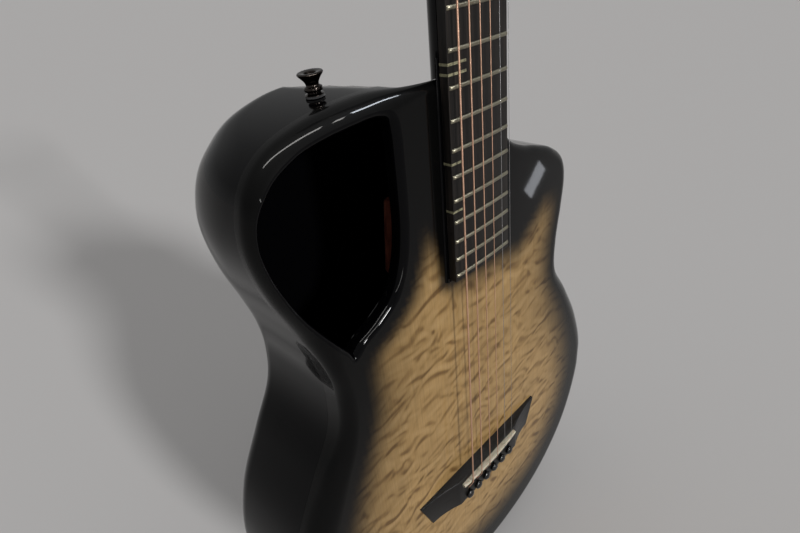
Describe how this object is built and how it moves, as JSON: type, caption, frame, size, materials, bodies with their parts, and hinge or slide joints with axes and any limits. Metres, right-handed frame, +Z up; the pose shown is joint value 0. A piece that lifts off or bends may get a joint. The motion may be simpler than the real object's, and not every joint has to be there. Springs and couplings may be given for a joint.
{
  "type": "acoustic guitar",
  "caption": "Cutaway steel-string acoustic guitar with a moulded black body, a figured maple top, a soundhole in the bass shoulder, a round back hatch, turning tuners and lifting bridge pins.",
  "frame": {"origin": "centreline of the instrument at the tail end of the body, midway through the layout's zero depth, where a stand or a lap carries it", "axes": "+Z up the neck towards the headstock, -Y out of the soundboard towards the listener, +X towards the treble side"},
  "size_m": [0.373, 0.1272, 1.0015],
  "materials": {
    "black_lacquer": "high gloss lacquer over a moulded fibre shell",
    "black_lacquer_neck": "gloss",
    "quilted_maple": "gloss over quilted figure, black burst at the edge",
    "ebony_fretboard": "satin",
    "ebony_bridge": "satin",
    "hatch_black": "satin",
    "bone": "satin",
    "pin_black": "gloss",
    "fret_nickel": "polished",
    "bronze_winding": "wound",
    "plain_steel": "bright",
    "dark_chrome": "polished"
  },
  "bodies": {
    "guitar": {"body_shell": "black_lacquer", "soundboard": "quilted_maple", "neck": "black_lacquer_neck", "fretboard": "ebony_fretboard", "nut": "bone", "bridge": "ebony_bridge", "saddle": "bone", "hatch_cover": "hatch_black", "strap_button_shoulder": "dark_chrome", "strap_button_tail": "dark_chrome", "fret_01": "fret_nickel", "fret_02": "fret_nickel", "fret_03": "fret_nickel", "fret_04": "fret_nickel", "fret_05": "fret_nickel", "fret_06": "fret_nickel", "fret_07": "fret_nickel", "fret_08": "fret_nickel", "fret_09": "fret_nickel", "fret_10": "fret_nickel", "fret_11": "fret_nickel", "fret_12": "fret_nickel", "fret_13": "fret_nickel", "fret_14": "fret_nickel", "fret_15": "fret_nickel", "fret_16": "fret_nickel", "fret_17": "fret_nickel", "fret_18": "fret_nickel", "fret_19": "fret_nickel", "fret_20": "fret_nickel", "string_1": "bronze_winding", "string_2": "bronze_winding", "string_3": "bronze_winding", "string_4": "bronze_winding", "string_5": "plain_steel", "string_6": "plain_steel", "tuner_housing_1": "dark_chrome", "tuner_housing_2": "dark_chrome", "tuner_housing_3": "dark_chrome", "tuner_housing_4": "dark_chrome", "tuner_housing_5": "dark_chrome", "tuner_housing_6": "dark_chrome"},
    "tuner_button_1": {"tuner_button_1": "dark_chrome"},
    "tuner_post_1": {"tuner_post_1": "dark_chrome"},
    "bridge_pin_1": {"bridge_pin_1": "pin_black"},
    "tuner_button_2": {"tuner_button_2": "dark_chrome"},
    "tuner_post_2": {"tuner_post_2": "dark_chrome"},
    "bridge_pin_2": {"bridge_pin_2": "pin_black"},
    "tuner_button_3": {"tuner_button_3": "dark_chrome"},
    "tuner_post_3": {"tuner_post_3": "dark_chrome"},
    "bridge_pin_3": {"bridge_pin_3": "pin_black"},
    "tuner_button_4": {"tuner_button_4": "dark_chrome"},
    "tuner_post_4": {"tuner_post_4": "dark_chrome"},
    "bridge_pin_4": {"bridge_pin_4": "pin_black"},
    "tuner_button_5": {"tuner_button_5": "dark_chrome"},
    "tuner_post_5": {"tuner_post_5": "dark_chrome"},
    "bridge_pin_5": {"bridge_pin_5": "pin_black"},
    "tuner_button_6": {"tuner_button_6": "dark_chrome"},
    "tuner_post_6": {"tuner_post_6": "dark_chrome"},
    "bridge_pin_6": {"bridge_pin_6": "pin_black"}
  },
  "joints": [
    {"name": "tuner_button_1_turn", "type": "hinge", "parent": "guitar", "child": "tuner_button_1", "pos_m": [-0.0245, -0.0246, 0.83967], "axis": [-1, 0, 0], "continuous": true},
    {"name": "tuner_post_1_turn", "type": "hinge", "parent": "guitar", "child": "tuner_post_1", "pos_m": [-0.0245, -0.02305, 0.84588], "axis": [0, -0.9703, 0.2419], "continuous": true},
    {"name": "bridge_pin_1_lift", "type": "slide", "parent": "guitar", "child": "bridge_pin_1", "axis": [0, -1, 0], "range_m": [0, 0.03]},
    {"name": "tuner_button_2_turn", "type": "hinge", "parent": "guitar", "child": "tuner_button_2", "pos_m": [-0.0245, -0.01444, 0.88043], "axis": [-1, 0, 0], "continuous": true},
    {"name": "tuner_post_2_turn", "type": "hinge", "parent": "guitar", "child": "tuner_post_2", "pos_m": [-0.0245, -0.01289, 0.88663], "axis": [0, -0.9703, 0.2419], "continuous": true},
    {"name": "bridge_pin_2_lift", "type": "slide", "parent": "guitar", "child": "bridge_pin_2", "axis": [0, -1, 0], "range_m": [0, 0.03]},
    {"name": "tuner_button_3_turn", "type": "hinge", "parent": "guitar", "child": "tuner_button_3", "pos_m": [-0.0245, -0.00428, 0.92118], "axis": [-1, 0, 0], "continuous": true},
    {"name": "tuner_post_3_turn", "type": "hinge", "parent": "guitar", "child": "tuner_post_3", "pos_m": [-0.0245, -0.00273, 0.92739], "axis": [0, -0.9703, 0.2419], "continuous": true},
    {"name": "bridge_pin_3_lift", "type": "slide", "parent": "guitar", "child": "bridge_pin_3", "axis": [0, -1, 0], "range_m": [0, 0.03]},
    {"name": "tuner_button_4_turn", "type": "hinge", "parent": "guitar", "child": "tuner_button_4", "pos_m": [0.0245, -0.00428, 0.92118], "axis": [1, 0, 0], "continuous": true},
    {"name": "tuner_post_4_turn", "type": "hinge", "parent": "guitar", "child": "tuner_post_4", "pos_m": [0.0245, -0.00273, 0.92739], "axis": [0, -0.9703, 0.2419], "continuous": true},
    {"name": "bridge_pin_4_lift", "type": "slide", "parent": "guitar", "child": "bridge_pin_4", "axis": [0, -1, 0], "range_m": [0, 0.03]},
    {"name": "tuner_button_5_turn", "type": "hinge", "parent": "guitar", "child": "tuner_button_5", "pos_m": [0.0245, -0.01444, 0.88043], "axis": [1, 0, 0], "continuous": true},
    {"name": "tuner_post_5_turn", "type": "hinge", "parent": "guitar", "child": "tuner_post_5", "pos_m": [0.0245, -0.01289, 0.88663], "axis": [0, -0.9703, 0.2419], "continuous": true},
    {"name": "bridge_pin_5_lift", "type": "slide", "parent": "guitar", "child": "bridge_pin_5", "axis": [0, -1, 0], "range_m": [0, 0.03]},
    {"name": "tuner_button_6_turn", "type": "hinge", "parent": "guitar", "child": "tuner_button_6", "pos_m": [0.0245, -0.0246, 0.83967], "axis": [1, 0, 0], "continuous": true},
    {"name": "tuner_post_6_turn", "type": "hinge", "parent": "guitar", "child": "tuner_post_6", "pos_m": [0.0245, -0.02305, 0.84588], "axis": [0, -0.9703, 0.2419], "continuous": true},
    {"name": "bridge_pin_6_lift", "type": "slide", "parent": "guitar", "child": "bridge_pin_6", "axis": [0, -1, 0], "range_m": [0, 0.03]}
  ],
  "couplings": [
    {"joint": "tuner_post_1_turn", "follows": "tuner_button_1_turn", "ratio": -0.071429},
    {"joint": "tuner_post_2_turn", "follows": "tuner_button_2_turn", "ratio": -0.071429},
    {"joint": "tuner_post_3_turn", "follows": "tuner_button_3_turn", "ratio": -0.071429},
    {"joint": "tuner_post_4_turn", "follows": "tuner_button_4_turn", "ratio": 0.071429},
    {"joint": "tuner_post_5_turn", "follows": "tuner_button_5_turn", "ratio": 0.071429},
    {"joint": "tuner_post_6_turn", "follows": "tuner_button_6_turn", "ratio": 0.071429}
  ]
}
